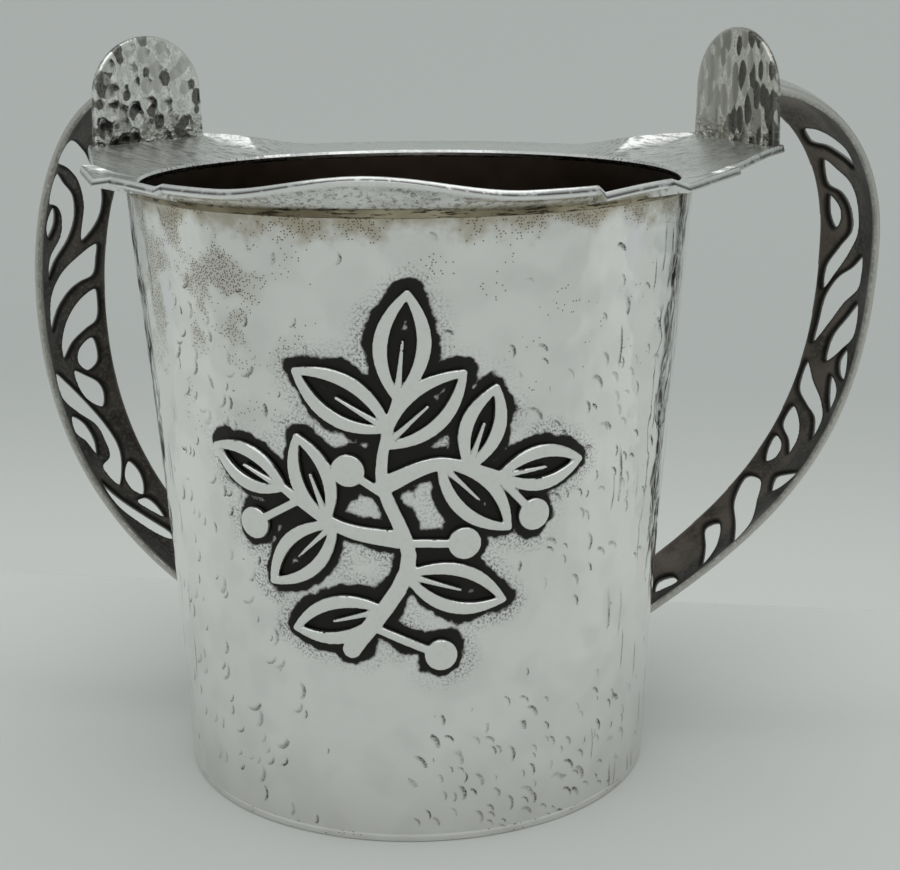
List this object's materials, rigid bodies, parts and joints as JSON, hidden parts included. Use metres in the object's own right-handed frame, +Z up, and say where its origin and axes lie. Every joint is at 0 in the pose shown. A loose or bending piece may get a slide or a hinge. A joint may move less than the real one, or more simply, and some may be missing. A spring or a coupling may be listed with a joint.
{
  "type": "two-handled ritual washing cup",
  "caption": "Tapered hammered-silver cup for ritual hand washing, with a flared pouring lip, upright thumb tabs and pierced strap handles on opposite sides.",
  "frame": {"origin": "centre of the base plate's flat underside, on the axis of the cup", "axes": "+Z up along the axis of the cup, -Y towards the front with the pouring lip and the ornament, +X to the right handle as seen from the front"},
  "size_m": [0.1648, 0.1072, 0.1301],
  "materials": {
    "hammered_silver": "bright silver sheet, hammered all over",
    "polished_silver": "raised and polished over a blackened ground",
    "oxidised_silver": "darkened inside face, light rubbed edges and outside",
    "soldered_seam": "yellowed solder line"
  },
  "bodies": {
    "root": {"base_plate": "hammered_silver", "cup_wall": "hammered_silver", "seam_wire": "soldered_seam", "rim_flange": "hammered_silver", "thumb_tab_left": "hammered_silver", "thumb_tab_right": "hammered_silver", "handle_left": "oxidised_silver", "handle_right": "oxidised_silver", "front_ornament": "polished_silver"}
  },
  "joints": []
}
